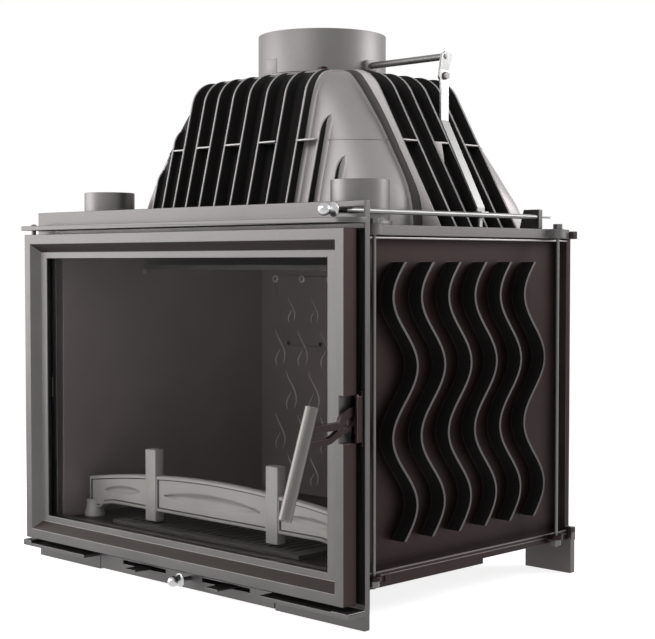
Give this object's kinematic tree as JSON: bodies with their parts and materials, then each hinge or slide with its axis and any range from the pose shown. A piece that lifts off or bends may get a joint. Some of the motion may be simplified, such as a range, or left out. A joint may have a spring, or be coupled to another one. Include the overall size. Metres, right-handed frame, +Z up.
{
  "type": "cast iron fireplace insert",
  "caption": "Cast iron fireplace insert with a hinged glass door, lift handle, ribbed smoke hood, flue damper on a pull rod, air slide, grate, ash pan and log guard.",
  "frame": {"origin": "on the floor, at the middle of the whole insert's footprint, door handle included", "axes": "+X to the right as seen from the front, +Y to the back, +Z up"},
  "size_m": [0.714, 0.624, 0.8174],
  "materials": {
    "cast_iron": "satin",
    "cast_light": "satin",
    "collar_iron": "satin",
    "sheet_steel": "matt",
    "bolt_steel": "dull",
    "zinc_steel": "bright",
    "brushed_steel": "brushed",
    "chrome": "polished",
    "ceramic_glass": "clear",
    "fibre_gasket": "woven"
  },
  "bodies": {
    "root": {"facade_frame": "cast_iron", "air_inlet_cover": "cast_iron", "base_plate": "cast_iron", "ash_box": "sheet_steel", "ash_pan": "sheet_steel", "grate": "cast_iron", "log_guard": "cast_light", "side_panel_left": "cast_iron", "side_panel_right": "cast_iron", "back_panel": "cast_iron", "fire_back": "cast_iron", "baffle_plate": "cast_iron", "air_wash_duct": "sheet_steel", "top_plate": "cast_iron", "smoke_hood": "cast_iron", "flue_collar": "collar_iron", "collar_bolts": "bolt_steel", "rod_bracket": "cast_iron", "air_spigot_left": "collar_iron", "air_spigot_right": "collar_iron", "tie_rods": "bolt_steel", "tie_rod_nuts": "bolt_steel", "hinge_pin_upper": "bolt_steel", "hinge_pin_lower": "bolt_steel", "latch_keeper": "bolt_steel", "keeper_screws": "bolt_steel"},
    "door": {"door_frame": "cast_iron", "door_glass": "ceramic_glass", "glass_gasket": "fibre_gasket", "door_gasket": "fibre_gasket", "glass_clips": "bolt_steel", "clip_screws": "bolt_steel", "handle_screw": "bolt_steel"},
    "handle": {"handle_bracket": "cast_iron", "handle_grip": "brushed_steel"},
    "damper": {"damper_plate": "cast_iron", "damper_shaft": "bolt_steel", "damper_screws": "bolt_steel", "damper_crank": "zinc_steel", "crank_bolts": "zinc_steel"},
    "link": {"damper_link": "zinc_steel"},
    "rod": {"pull_rod": "zinc_steel", "pull_knob": "chrome"},
    "air": {"air_slide_rod": "zinc_steel", "air_slide_knob": "chrome", "air_flap": "sheet_steel"}
  },
  "joints": [
    {"name": "door_swing", "type": "hinge", "parent": "root", "child": "door", "pos_m": [-0.341, -0.19246, 0.273], "axis": [0, 0, -1], "range_deg": [0, 100]},
    {"name": "handle_lift", "type": "hinge", "parent": "door", "child": "handle", "pos_m": [0.344, -0.19446, 0.2677], "axis": [-1, 0, 0], "range_deg": [0, 30]},
    {"name": "damper_turn", "type": "hinge", "parent": "root", "child": "damper", "pos_m": [0, 0.10944, 0.7644], "axis": [-1, 0, 0], "range_deg": [0, 60]},
    {"name": "link_pivot", "type": "hinge", "parent": "damper", "child": "link", "pos_m": [0.2498, 0.10554, 0.73627], "axis": [1, 0, 0], "range_deg": [0, 60]},
    {"name": "rod_pull", "type": "slide", "parent": "root", "child": "rod", "axis": [0, -1, 0], "range_m": [0, 0.0245]},
    {"name": "air_slide", "type": "slide", "parent": "root", "child": "air", "axis": [0, -1, 0], "range_m": [0, 0.028]}
  ],
  "couplings": [
    {"joint": "link_pivot", "follows": "damper_turn", "ratio": 1},
    {"joint": "rod_pull", "follows": "damper_turn", "m_per_rad": 0.0229}
  ]
}
